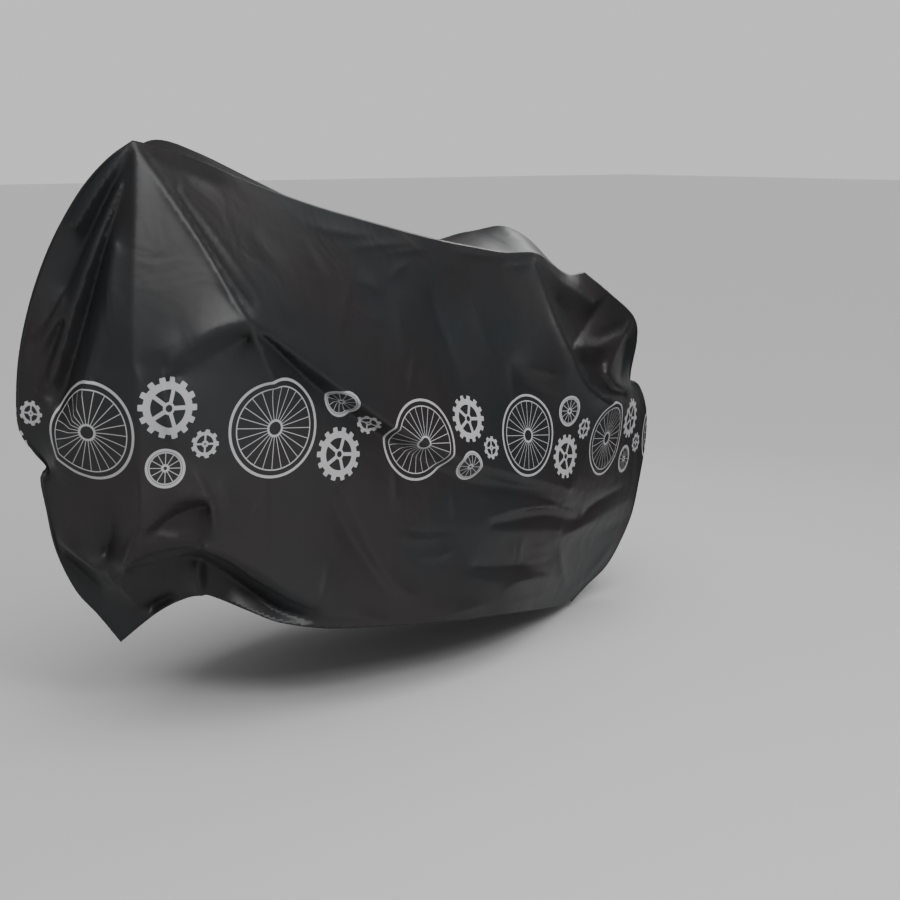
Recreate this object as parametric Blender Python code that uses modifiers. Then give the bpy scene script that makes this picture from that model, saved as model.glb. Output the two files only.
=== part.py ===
"""A thin film cover in the shape in which it hangs: two side panels joined by one seam.

Metres, +X to the rear, -Y to the left and +Z up. The tables give heights above the floor, and
the finished panels are moved so that the underside of the rear hump's top lies at the origin.
"""

import bpy
import numpy as np
from mathutils import Vector
from mathutils.geometry import delaunay_2d_cdt

# Driving sizes
SHEET = 0.0015  # thickness of a panel
SEAM_GAP = 0.0013  # how far each panel stands back from the seam
HUMP_TOP = (0.42, 0.03, 0.915)  # becomes the origin
LEFT_STEP = 0.031  # size of the left panel's facets
RIGHT_STEP = 0.045  # size of the right panel's facets
SEAM_STEP = 0.031  # size of the seam's straight stretches
FILM = (0.030, 0.031, 0.034)  # colour of the film

# The left panel's folds stand out from the cover's centre plane outwards and forwards, and the
# right panel's outwards and a little to the rear: x, y
LEFT_OUT = (-0.6157, -0.7880)
RIGHT_OUT = (0.20, 0.98)

# The seam that joins the panels, and each panel's hem: x, y, z
FRONT_SEAM = (
    (-0.560, -0.160, 1.135),
    (-0.595, -0.140, 1.105),
    (-0.630, -0.115, 1.060),
    (-0.660, -0.090, 1.005),
    (-0.690, -0.065, 0.935),
    (-0.720, -0.050, 0.850),
    (-0.740, -0.035, 0.760),
    (-0.750, -0.030, 0.680),
    (-0.750, -0.030, 0.610),
    (-0.725, -0.030, 0.565),
    (-0.700, -0.030, 0.530),
    (-0.715, -0.035, 0.510),
    (-0.710, -0.040, 0.455),
    (-0.695, -0.040, 0.370),
    (-0.660, -0.040, 0.285),
    (-0.615, -0.040, 0.225),
    (-0.570, -0.040, 0.160),
)
TOP_SEAM = (
    (-0.560, -0.160, 1.135),
    (-0.490, -0.155, 1.120),
    (-0.420, -0.150, 1.100),
    (-0.315, -0.140, 1.060),
    (-0.175, -0.125, 1.015),
    (-0.040, -0.110, 0.980),
    (0.170, -0.090, 0.930),
    (0.300, -0.080, 0.905),
    (0.390, -0.075, 0.890),
    (0.485, -0.070, 0.885),
    (0.550, -0.055, 0.855),
    (0.615, -0.040, 0.825),
    (0.690, -0.020, 0.825),
)
REAR_SEAM = (
    (0.690, -0.020, 0.825),
    (0.775, -0.020, 0.770),
    (0.870, -0.010, 0.705),
    (0.890, 0.000, 0.645),
    (0.870, 0.000, 0.550),
    (0.905, 0.000, 0.525),
    (0.930, 0.000, 0.465),
    (0.930, 0.000, 0.380),
    (0.910, 0.000, 0.275),
    (0.870, -0.010, 0.180),
    (0.790, -0.020, 0.085),
    (0.695, -0.040, 0.045),
    (0.625, -0.060, 0.020),
)
LEFT_HEM = (
    (-0.570, -0.040, 0.160),
    (-0.525, -0.080, 0.210),
    (-0.485, -0.120, 0.245),
    (-0.450, -0.150, 0.260),
    (-0.430, -0.180, 0.255),
    (-0.385, -0.220, 0.230),
    (-0.335, -0.255, 0.205),
    (-0.255, -0.285, 0.185),
    (-0.150, -0.300, 0.170),
    (0.050, -0.295, 0.140),
    (0.155, -0.280, 0.125),
    (0.285, -0.240, 0.100),
    (0.520, -0.120, 0.040),
    (0.625, -0.060, 0.020),
)
RIGHT_HEM = (
    (-0.570, -0.040, 0.160),
    (-0.500, 0.050, 0.200),
    (-0.380, 0.140, 0.215),
    (-0.200, 0.220, 0.190),
    (0.000, 0.255, 0.160),
    (0.200, 0.245, 0.130),
    (0.400, 0.170, 0.090),
    (0.530, 0.060, 0.050),
    (0.625, -0.060, 0.020),
)

# Lines that the left panel is pulled tight over. Each runs through three points: x and z on the
# centre plane, and how far the cloth stands out from the plane there
LEFT_FRAME = (
    # name, x, z, out, x, z, out, x, z, out
    ("front_ridge", -0.430, 1.125, 0.215, -0.430, 0.965, 0.262, -0.435, 0.755, 0.298),
    ("long_ridge", -0.425, 1.125, 0.215, -0.315, 1.000, 0.295, -0.175, 0.815, 0.400),
    ("knee_shelf", -0.355, 0.745, 0.345, -0.270, 0.790, 0.375, -0.175, 0.815, 0.400),
    ("long_shelf", -0.175, 0.815, 0.400, -0.030, 0.705, 0.380, 0.140, 0.580, 0.365),
    ("long_shelf_rear", 0.140, 0.580, 0.365, 0.345, 0.470, 0.335, 0.645, 0.345, 0.245),
    ("middle", 0.005, 0.540, 0.345, 0.015, 0.400, 0.350, 0.025, 0.255, 0.362),
    ("side_low", 0.240, 0.360, 0.335, 0.430, 0.300, 0.310, 0.615, 0.250, 0.235),
    ("hump_edge", 0.540, 0.865, 0.118, 0.580, 0.775, 0.180, 0.635, 0.680, 0.228),
    ("hump_edge_low", 0.635, 0.680, 0.228, 0.675, 0.605, 0.245, 0.740, 0.550, 0.225),
    ("rear_shelf", 0.740, 0.550, 0.225, 0.805, 0.515, 0.165, 0.890, 0.490, 0.045),
    ("front_line", -0.435, 0.750, 0.298, -0.435, 0.625, 0.300, -0.430, 0.490, 0.290),
    ("strap_line", -0.430, 0.490, 0.290, -0.440, 0.425, 0.278, -0.485, 0.355, 0.235),
    ("cuff_edge", -0.330, 0.565, 0.325, -0.290, 0.505, 0.335, -0.270, 0.455, 0.345),
    ("cuff_edge_low", -0.270, 0.455, 0.345, -0.270, 0.420, 0.345, -0.290, 0.390, 0.335),
)

# The left panel's folds. Each runs through three points: x and z on the centre plane, and how far
# the cloth rises there over the tight one, or sinks
LEFT_FOLDS = (
    # name, x, z, rise, x, z, rise, x, z, rise
    ("cheek_top", -0.455, 1.120, 0.004, -0.515, 1.055, 0.017, -0.575, 0.985, 0.017),
    ("peak_valley", -0.445, 1.110, -0.004, -0.510, 1.025, -0.022, -0.600, 0.885, -0.025),
    ("peak_valley_toe", -0.600, 0.885, -0.025, -0.640, 0.830, -0.014, -0.680, 0.795, -0.003),
    ("cheek_ridge", -0.610, 0.850, 0.006, -0.640, 0.800, 0.017, -0.690, 0.740, 0.008),
    ("cheek_valley", -0.610, 0.810, -0.020, -0.645, 0.750, -0.022, -0.680, 0.685, -0.011),
    ("cheek_crease", -0.465, 1.055, 0.000, -0.540, 0.920, 0.014, -0.640, 0.705, 0.017),
    ("jaw_valley", -0.455, 1.060, -0.008, -0.510, 0.940, -0.025, -0.555, 0.830, -0.031),
    ("jaw_low", -0.555, 0.830, -0.031, -0.590, 0.740, -0.034, -0.630, 0.650, -0.022),
    ("step_edge", -0.510, 0.825, 0.006, -0.555, 0.695, 0.022, -0.645, 0.545, 0.022),
    ("mouth_lip", -0.715, 0.610, 0.003, -0.665, 0.665, 0.011, -0.640, 0.635, 0.004),
    ("front_crease", -0.475, 0.955, 0.008, -0.490, 0.855, 0.011, -0.470, 0.765, 0.006),
    ("long_valley", -0.370, 1.080, -0.006, -0.275, 0.965, -0.014, -0.170, 0.835, -0.014),
    ("long_echo", -0.330, 1.050, 0.003, -0.230, 0.940, 0.007, -0.140, 0.835, 0.003),
    ("top_echo", -0.335, 1.075, 0.006, -0.235, 1.005, 0.014, -0.120, 0.920, 0.008),
    ("top_valley", -0.400, 1.110, -0.006, -0.345, 1.090, -0.011, -0.265, 1.055, -0.008),
    ("knee_under", -0.185, 0.780, -0.022, -0.260, 0.750, -0.031, -0.350, 0.715, -0.020),
    ("knee_crease", -0.175, 0.805, 0.000, -0.150, 0.755, 0.014, -0.125, 0.685, 0.011),
    ("long_under", -0.150, 0.780, -0.020, -0.035, 0.665, -0.034, 0.140, 0.530, -0.031),
    ("long_under_rear", 0.140, 0.530, -0.031, 0.345, 0.420, -0.025, 0.620, 0.315, -0.008),
    ("shin_left", -0.440, 0.750, 0.000, -0.485, 0.730, 0.011, -0.530, 0.715, 0.008),
    ("shin_right", -0.365, 0.725, 0.006, -0.360, 0.640, 0.014, -0.330, 0.565, 0.000),
    ("pouch_lip", -0.275, 0.485, 0.006, -0.350, 0.485, 0.017, -0.425, 0.435, 0.006),
    ("pouch_foot", -0.285, 0.465, -0.020, -0.350, 0.450, -0.031, -0.415, 0.420, -0.014),
    ("pouch_belly", -0.290, 0.405, 0.003, -0.360, 0.405, 0.017, -0.440, 0.390, 0.006),
    ("skirt_lip", -0.470, 0.365, 0.006, -0.390, 0.385, 0.011, -0.305, 0.395, 0.014),
    ("skirt_lip_mid", -0.305, 0.395, 0.014, -0.255, 0.365, 0.025, -0.195, 0.310, 0.031),
    ("skirt_lip_rear", -0.195, 0.310, 0.031, -0.120, 0.265, 0.031, -0.040, 0.230, 0.017),
    ("skirt_foot", -0.480, 0.330, -0.020, -0.405, 0.350, -0.025, -0.325, 0.350, -0.031),
    ("skirt_foot_mid", -0.325, 0.350, -0.031, -0.280, 0.315, -0.031, -0.215, 0.265, -0.031),
    ("skirt_foot_rear", -0.215, 0.265, -0.031, -0.140, 0.225, -0.020, -0.055, 0.205, -0.003),
    ("skirt_tail", -0.040, 0.230, 0.020, -0.025, 0.265, 0.017, -0.020, 0.330, 0.006),
    ("skirt_pleat", -0.330, 0.345, -0.025, -0.335, 0.315, -0.003, -0.335, 0.275, 0.006),
    ("pleat_foot", -0.310, 0.330, -0.031, -0.310, 0.300, -0.020, -0.310, 0.270, -0.008),
    ("hem_dent", -0.465, 0.230, -0.020, -0.430, 0.245, -0.025, -0.395, 0.260, -0.014),
    ("toe_ridge", -0.655, 0.395, 0.008, -0.610, 0.375, 0.020, -0.565, 0.345, 0.022),
    ("toe_under", -0.650, 0.350, -0.008, -0.610, 0.315, -0.014, -0.575, 0.285, -0.008),
    ("shin_line", -0.570, 0.520, 0.008, -0.575, 0.440, 0.014, -0.570, 0.365, 0.014),
    ("calf", -0.510, 0.480, -0.017, -0.520, 0.420, -0.028, -0.540, 0.370, -0.022),
    ("toe_notch", -0.530, 0.345, 0.011, -0.525, 0.310, 0.017, -0.485, 0.350, 0.011),
    ("toe_line", -0.515, 0.310, 0.006, -0.500, 0.285, 0.014, -0.495, 0.255, 0.008),
    ("tail_line", 0.560, 0.865, 0.006, 0.630, 0.810, 0.017, 0.725, 0.755, 0.020),
    ("tail_face", 0.605, 0.775, -0.022, 0.645, 0.750, -0.028, 0.675, 0.725, -0.020),
    ("tail_valley", 0.770, 0.760, -0.008, 0.710, 0.715, -0.025, 0.645, 0.680, -0.017),
    ("tail_facet", 0.660, 0.670, 0.011, 0.745, 0.660, 0.025, 0.830, 0.670, 0.014),
    ("tail_dent", 0.715, 0.685, -0.008, 0.780, 0.675, -0.011, 0.850, 0.690, 0.000),
    ("tail_fold", 0.865, 0.695, 0.011, 0.795, 0.635, 0.025, 0.765, 0.600, 0.022),
    ("tail_hollow", 0.855, 0.650, -0.017, 0.840, 0.600, -0.025, 0.825, 0.570, -0.020),
    ("tail_fold_low", 0.765, 0.600, 0.022, 0.800, 0.560, 0.020, 0.875, 0.525, 0.008),
    ("tail_inner", 0.675, 0.635, -0.020, 0.720, 0.625, -0.025, 0.755, 0.615, -0.011),
    ("tail_pocket", 0.700, 0.585, -0.022, 0.755, 0.560, -0.034, 0.840, 0.520, -0.020),
    ("side_fold", 0.455, 0.665, 0.003, 0.520, 0.650, 0.011, 0.580, 0.625, 0.006),
    ("side_hollow", 0.490, 0.610, -0.008, 0.550, 0.580, -0.014, 0.610, 0.560, -0.008),
    ("flank_ridge", 0.140, 0.835, 0.006, 0.190, 0.715, 0.010, 0.265, 0.605, 0.006),
    ("flank_valley", 0.235, 0.805, -0.007, 0.290, 0.700, -0.011, 0.340, 0.595, -0.008),
    ("rear_lip", 0.400, 0.335, 0.003, 0.550, 0.325, 0.014, 0.670, 0.275, 0.006),
    ("rear_foot", 0.410, 0.315, -0.006, 0.570, 0.295, -0.014, 0.675, 0.250, -0.006),
    ("rear_diag", 0.590, 0.235, 0.003, 0.710, 0.230, 0.011, 0.870, 0.235, 0.006),
    ("rear_diag_low", 0.655, 0.195, -0.008, 0.760, 0.180, -0.011, 0.855, 0.180, -0.006),
    ("low_fold", 0.345, 0.220, 0.006, 0.465, 0.180, 0.014, 0.595, 0.145, 0.006),
    ("low_foot", 0.355, 0.235, -0.008, 0.470, 0.205, -0.014, 0.580, 0.175, -0.008),
)

# The right panel's hanging lines, by their share of the way along the seam: how far the crest
# beside the top seam lies out and up from a straight hang, and how far the side bulges out
RIGHT_SECTIONS = (
    # along, crest out, crest up, belly
    (0.00, 0.00, 0.000, 0.00),
    (0.05, 0.03, 0.035, 0.01),
    (0.10, 0.09, 0.078, 0.03),
    (0.17, 0.18, 0.130, 0.05),
    (0.22, 0.19, 0.128, 0.05),
    (0.28, 0.17, 0.105, 0.05),
    (0.36, 0.13, 0.040, 0.06),
    (0.50, 0.12, 0.030, 0.07),
    (0.66, 0.13, 0.045, 0.07),
    (0.74, 0.15, 0.088, 0.06),
    (0.82, 0.15, 0.110, 0.06),
    (0.88, 0.13, 0.108, 0.05),
    (0.93, 0.09, 0.055, 0.04),
    (1.00, 0.00, 0.000, 0.00),
)
CREST = 0.11  # where the crest lies between the top seam and the hem
RIGHT_LENGTH = 1.45  # the right panel laid flat
RIGHT_DROP = 1.05

# The right panel's folds. Each runs through three places, by their share of the way along the
# seam and down to the hem, and rises or sinks there
RIGHT_FOLDS = (
    # name, along, down, out, along, down, out, along, down, out
    ("peak_to_toe", 0.13, 0.13, 0.02, 0.11, 0.45, 0.045, 0.06, 0.85, 0.01),
    ("peak_drop", 0.17, 0.13, 0.02, 0.19, 0.50, 0.050, 0.20, 0.97, 0.03),
    ("peak_to_side", 0.20, 0.13, 0.01, 0.30, 0.45, 0.045, 0.40, 0.92, 0.03),
    ("peak_valley", 0.155, 0.20, -0.01, 0.15, 0.55, -0.030, 0.13, 0.95, -0.02),
    ("side_valley", 0.20, 0.22, -0.01, 0.25, 0.55, -0.030, 0.29, 0.97, -0.03),
    ("hump_to_side", 0.74, 0.14, 0.01, 0.66, 0.50, 0.040, 0.58, 0.95, 0.03),
    ("hump_drop", 0.82, 0.14, 0.01, 0.80, 0.50, 0.045, 0.78, 0.90, 0.02),
    ("hump_valley", 0.79, 0.20, -0.01, 0.74, 0.50, -0.030, 0.69, 0.95, -0.02),
    ("hump_to_tail", 0.86, 0.16, 0.01, 0.92, 0.32, 0.035, 0.97, 0.52, 0.01),
    ("tail_valley", 0.88, 0.34, -0.01, 0.92, 0.50, -0.030, 0.96, 0.70, -0.01),
)


def through(points, step):
    """Points on a smooth curve that keeps the given ones, each stretch cut evenly to a step."""
    points = np.array(points, float)
    padded = np.vstack([2 * points[0] - points[1], points, 2 * points[-1] - points[-2]])
    curve = []
    for before, start, end, after in zip(padded, padded[1:], padded[2:], padded[3:]):
        cuts = max(1, round(np.linalg.norm(end - start) / step))
        for share in np.arange(cuts) / cuts:
            slope = 0.5 * (end - before)
            bend = before - 2.5 * start + 2 * end - 0.5 * after
            twist = 1.5 * (start - end) + 0.5 * (after - before)
            curve.append(start + share * slope + share**2 * bend + share**3 * twist)
    return np.array(curve + [points[-1]])


def shares(curve):
    """Each point's share of the way along a curve."""
    lengths = np.append(0, np.cumsum(np.linalg.norm(np.diff(curve, axis=0), axis=1)))
    return lengths / lengths[-1]


def facets(outline, folds, step):
    """Triangles that fill a flat outline, with an edge along each fold.

    Rows of the outline and the folds are two places and a value to hold there. Returns the
    corners' places, the triangles, the held corners with their row, and the values there.
    """
    lines = [np.asarray(line) for line in [outline] + folds]
    given = np.vstack(lines)
    edges = [(k, (k + 1) % len(outline)) for k in range(len(outline))]
    first = len(outline)
    for line in lines[1:]:
        edges += [(first + k, first + k + 1) for k in range(len(line) - 1)]
        first += len(line)
    low, high = given[:, :2].min(0), given[:, :2].max(0)
    fill = []
    for row, height in enumerate(np.arange(low[1], high[1], step * 0.866)):
        for across in np.arange(low[0] + 0.5 * step * (row % 2), high[0], step):
            place = np.array((across, height))
            if np.linalg.norm(given[:, :2] - place, axis=1).min() > 0.62 * step:
                fill.append(place)
    everything = [Vector(place) for place in np.vstack([given[:, :2], fill])]
    places, _, faces, origins, _, _ = delaunay_2d_cdt(everything, edges, [], 1, 1e-4)
    used = sorted({corner for face in faces for corner in face})
    renumbered = {corner: k for k, corner in enumerate(used)}
    faces = [[renumbered[corner] for corner in face] for face in faces]
    places = np.array([tuple(places[corner]) for corner in used])
    held, values = [], []
    for corner in used:
        rows = [row for row in origins[corner] if row < len(given)]
        if rows:
            held.append((renumbered[corner], min(rows)))
            values.append(given[min(rows), 2])
    return places, faces, np.array(held), np.array(values)


def stretched(places, faces, held, values):
    """Values over a film that is held at some corners and pulled tight in between."""
    ends, weights = [], []
    for turn in range(3):
        corner, one, other = np.array(faces)[:, [turn, (turn + 1) % 3, (turn + 2) % 3]].T
        to_one, to_other = places[one] - places[corner], places[other] - places[corner]
        across = np.abs(to_one[:, 0] * to_other[:, 1] - to_one[:, 1] * to_other[:, 0])
        ends.append(np.column_stack([one, other]))
        weights.append(np.maximum((to_one * to_other).sum(1) / np.maximum(across, 1e-9), 0.05))
    (one, other), weights = np.vstack(ends).T, np.concatenate(weights)
    count = len(places)
    pull = np.bincount(one, weights, count) + np.bincount(other, weights, count)
    free = np.ones(count)
    free[held] = 0

    def uneven(film):
        drop = weights * (film[one] - film[other])
        return free * (np.bincount(one, drop, count) - np.bincount(other, drop, count))

    film = np.full(count, values.mean())
    film[held] = values
    left = -uneven(film)
    step = left / pull
    rest = left @ step
    for _ in range(4000):
        change = uneven(step)
        stride = rest / (step @ change)
        film += stride * step
        left -= stride * change
        if np.abs(left / pull).max() < 1e-7:
            break
        eased = left / pull
        rest, before = left @ eased, rest
        step = eased + rest / before * step
    return film


def fold_lines(table, step):
    return [through(np.reshape(row[1:], (3, 3)), step) for row in table]


def left_ring():
    """The left panel's outline: x, z and out."""
    ring = np.vstack([
        through(FRONT_SEAM, SEAM_STEP)[:-1],
        through(LEFT_HEM, SEAM_STEP)[:-1],
        through(REAR_SEAM, SEAM_STEP)[:0:-1],
        through(TOP_SEAM, SEAM_STEP)[:0:-1],
    ])
    out = ring[:, 1] / LEFT_OUT[1]
    return np.column_stack([ring[:, 0] - out * LEFT_OUT[0], ring[:, 2], out])


def left_panel():
    """The left panel's corners and triangles: a film pulled tight over its frame, then folded."""
    ring, frame = left_ring(), fold_lines(LEFT_FRAME, 0.8 * LEFT_STEP)
    folds = fold_lines(LEFT_FOLDS, 0.8 * LEFT_STEP)
    places, faces, held, values = facets(ring, frame + folds, LEFT_STEP)
    tight = held[:, 1] < len(ring) + sum(map(len, frame))
    film = stretched(places, faces, held[tight, 0], values[tight])
    values = values + np.where(tight, 0, film[held[:, 0]])
    out = stretched(places, faces, held[:, 0], values)
    corners = np.column_stack([places[:, 0] + out * LEFT_OUT[0], out * LEFT_OUT[1], places[:, 1]])
    return corners, faces


def right_panel():
    """The right panel's corners and triangles: a patch between its edges, crested and folded."""
    front, rear = through(FRONT_SEAM, SEAM_STEP), through(REAR_SEAM, SEAM_STEP)
    top, hem = through(TOP_SEAM, SEAM_STEP), through(RIGHT_HEM, SEAM_STEP)
    size = np.array((RIGHT_LENGTH, RIGHT_DROP))
    ring = np.vstack([
        [(0, share) for share in shares(front)[:-1]],
        [(share, 1) for share in shares(hem)[:-1]],
        [(1, share) for share in shares(rear)[:0:-1]],
        [(share, 0) for share in shares(top)[:0:-1]],
    ])
    outline = np.column_stack([ring * size, np.zeros(len(ring))])
    folds = fold_lines(RIGHT_FOLDS, 0.05)
    folds = [line * (*size, 1) for line in folds]
    places, faces, held, values = facets(outline, folds, RIGHT_STEP)
    out = stretched(places, faces, held[:, 0], values)
    along, down = (places / size).T

    def edge(curve, share):
        return np.column_stack([np.interp(share, shares(curve), column) for column in curve.T])

    a, d = along[:, None], down[:, None]
    corners = (1 - d) * edge(top, along) + d * edge(hem, along)
    corners += (1 - a) * edge(front, down) + a * edge(rear, down)
    corners -= (1 - a) * ((1 - d) * top[0] + d * hem[0]) + a * ((1 - d) * top[-1] + d * hem[-1])
    table = np.array(RIGHT_SECTIONS)
    crest_out, crest_up, belly = (np.interp(along, table[:, 0], column) for column in table.T[1:])
    rising, falling = down / CREST, (down - CREST) / (1 - CREST)
    quarter = 0.5 * np.pi
    crest = np.where(down < CREST, np.sin(quarter * rising), np.cos(quarter * falling) ** 2)
    corners[:, 1] += crest_out * crest + belly * np.sin(np.pi * down)
    corners[:, 2] += crest_up * crest
    corners[:, 0] += out * RIGHT_OUT[0]
    corners[:, 1] += out * RIGHT_OUT[1]
    return corners, faces


def film(name, roughness):
    """The cover's film."""
    material = bpy.data.materials.new(name)
    material.use_nodes = True
    shader = material.node_tree.nodes["Principled BSDF"]
    shader.inputs["Base Color"].default_value = (*FILM, 1)
    shader.inputs["Roughness"].default_value = roughness
    return material


def build(name, corners, faces, collection):
    """A panel's sheet, thickened outwards from its inner face and drawn back from the seam."""
    mesh = bpy.data.meshes.new(name)
    mesh.from_pydata([tuple(corner) for corner in corners - np.array(HUMP_TOP)], [], faces)
    inward = {}
    for face in mesh.polygons:
        for key in face.edge_keys:
            inward.setdefault(key, []).append(face.center)
    drawn = {}
    for edge in mesh.edges:
        centers = inward[edge.key]
        if len(centers) == 1:
            edge.use_edge_sharp = True
            one, two = (mesh.vertices[end].co for end in edge.vertices)
            along = (two - one).normalized()
            across = centers[0] - one
            across = (across - along * across.dot(along)).normalized()
            for end in edge.vertices:
                drawn[end] = drawn.get(end, Vector()) + across
    for end, across in drawn.items():
        mesh.vertices[end].co += across.normalized() * SEAM_GAP
    mesh.materials.append(film(name + "_film", 0.38))
    mesh.shade_smooth()
    panel = bpy.data.objects.new(name, mesh)
    collection.objects.link(panel)
    solid = panel.modifiers.new("Thickness", "SOLIDIFY")
    solid.thickness = SHEET
    solid.offset = 1


for leftover in list(bpy.data.objects):
    bpy.data.objects.remove(leftover)
cover = bpy.data.collections.new("bicycle_cover")
bpy.context.scene.collection.children.link(cover)
build("left_panel", *left_panel(), cover)
build("right_panel", *right_panel(), cover)
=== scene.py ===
"""A thin film cover in the shape in which it hangs: two side panels welded along one seam."""

import math

import bpy
import numpy as np
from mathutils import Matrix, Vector
from mathutils.geometry import delaunay_2d_cdt


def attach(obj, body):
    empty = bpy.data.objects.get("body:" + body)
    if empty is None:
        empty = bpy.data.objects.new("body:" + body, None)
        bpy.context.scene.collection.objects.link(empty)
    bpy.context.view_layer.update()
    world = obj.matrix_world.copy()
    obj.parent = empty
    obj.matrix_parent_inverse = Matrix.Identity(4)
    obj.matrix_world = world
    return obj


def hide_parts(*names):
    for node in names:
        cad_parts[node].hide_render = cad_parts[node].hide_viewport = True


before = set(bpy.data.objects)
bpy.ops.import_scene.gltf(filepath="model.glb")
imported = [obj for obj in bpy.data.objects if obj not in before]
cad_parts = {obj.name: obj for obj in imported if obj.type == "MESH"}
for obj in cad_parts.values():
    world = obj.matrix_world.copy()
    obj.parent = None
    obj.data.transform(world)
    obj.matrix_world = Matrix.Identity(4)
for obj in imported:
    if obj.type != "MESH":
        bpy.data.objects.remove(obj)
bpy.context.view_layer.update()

# The view: level with the cover's front peak, a little down on the cover and 38 degrees off its
# side, from the front. Heights in the tables below are above the floor, and the underside of the
# rear hump's top is the origin.
HUMP_TOP = np.array((0.42, 0.03, 0.915))  # where the origin is in the tables
VIEW_TURN, VIEW_DOWN = math.radians(-38), math.radians(11.5)
EYE = Vector((-1.815, -2.696, 1.130)) - Vector(HUMP_TOP)
view = bpy.data.objects.new("view", bpy.data.cameras.new("view"))
bpy.context.scene.collection.objects.link(view)
view.data.lens, view.data.sensor_width = 60, 36
view.location = EYE
flat, drop = math.cos(VIEW_DOWN), math.sin(VIEW_DOWN)
gaze = Vector((-math.sin(VIEW_TURN) * flat, math.cos(VIEW_TURN) * flat, -drop))
view.rotation_euler = gaze.to_track_quat("-Z", "Y").to_euler()
bpy.context.scene.camera = view

# The near side panel: one piece of black film, welded to the far one along the seam. It hangs from
# the front peak, the top seam and the rear hump, pulled tight between them and over the knee below
# the seam, and its slack falls in folds and creases to the hem.
FILM_THICK = 0.0006
WELD_WIDTH = 0.0045  # width of the doubled edge along the seam
WELD_BACK = 1.3  # how far that edge is folded back on top, for each metre that it stands up
WELD_APART = 0.0001  # how far each panel's doubled edge is set off towards its own side
NEAR_STEP = 0.0055  # size of the near panel's triangles
NEAR_FOLD_STEP = 0.8 * NEAR_STEP  # distance of the corners along its folds
NEAR_OUT = (-0.6157, -0.7880)  # the way its folds stand out: forwards and outwards
NEAR_SOFT = 0.0045  # how far its folds are rounded
CREASE_TIP = 0.002  # how far the edges of its creases are rounded
CREASE_SOFT = 0.0035  # how far its creases are evened out over the triangles
CREASE_STEP = 0.003  # distance of the points along a crease from which its slopes are measured
CREASE_FADE = 4  # widths away from its line where a crease ends
NEAR_PRINT = ((-0.626, -0.224, 0.615), (0.392, -0.201, 0.482))  # the middle line of its print
FRONT_SEAM = (
    (-0.560, -0.160, 1.135),
    (-0.595, -0.140, 1.105),
    (-0.630, -0.115, 1.060),
    (-0.660, -0.090, 1.005),
    (-0.690, -0.065, 0.935),
    (-0.720, -0.050, 0.850),
    (-0.740, -0.035, 0.760),
    (-0.750, -0.030, 0.680),
    (-0.750, -0.030, 0.610),
    (-0.725, -0.030, 0.565),
    (-0.700, -0.030, 0.530),
    (-0.715, -0.035, 0.510),
    (-0.710, -0.040, 0.455),
    (-0.695, -0.040, 0.370),
    (-0.660, -0.040, 0.285),
    (-0.615, -0.040, 0.225),
    (-0.570, -0.040, 0.160),
)
TOP_SEAM = (
    (-0.560, -0.160, 1.135),
    (-0.490, -0.155, 1.120),
    (-0.420, -0.150, 1.100),
    (-0.315, -0.140, 1.060),
    (-0.175, -0.125, 1.015),
    (-0.040, -0.110, 0.980),
    (0.170, -0.090, 0.930),
    (0.300, -0.080, 0.905),
    (0.390, -0.075, 0.890),
    (0.485, -0.070, 0.885),
    (0.550, -0.055, 0.855),
    (0.615, -0.040, 0.825),
    (0.690, -0.020, 0.825),
)
REAR_SEAM = (
    (0.690, -0.020, 0.825),
    (0.775, -0.020, 0.770),
    (0.870, -0.010, 0.705),
    (0.890, 0.000, 0.645),
    (0.870, 0.000, 0.550),
    (0.905, 0.000, 0.525),
    (0.930, 0.000, 0.465),
    (0.930, 0.000, 0.380),
    (0.910, 0.000, 0.275),
    (0.870, -0.010, 0.180),
    (0.790, -0.020, 0.085),
    (0.695, -0.040, 0.045),
    (0.625, -0.060, 0.020),
)
LEFT_HEM = (
    (-0.570, -0.040, 0.160),
    (-0.525, -0.080, 0.210),
    (-0.485, -0.120, 0.245),
    (-0.450, -0.150, 0.260),
    (-0.430, -0.180, 0.255),
    (-0.385, -0.220, 0.230),
    (-0.335, -0.255, 0.205),
    (-0.255, -0.285, 0.185),
    (-0.150, -0.300, 0.170),
    (0.050, -0.295, 0.140),
    (0.155, -0.280, 0.125),
    (0.285, -0.240, 0.100),
    (0.520, -0.120, 0.040),
    (0.625, -0.060, 0.020),
)
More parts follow.
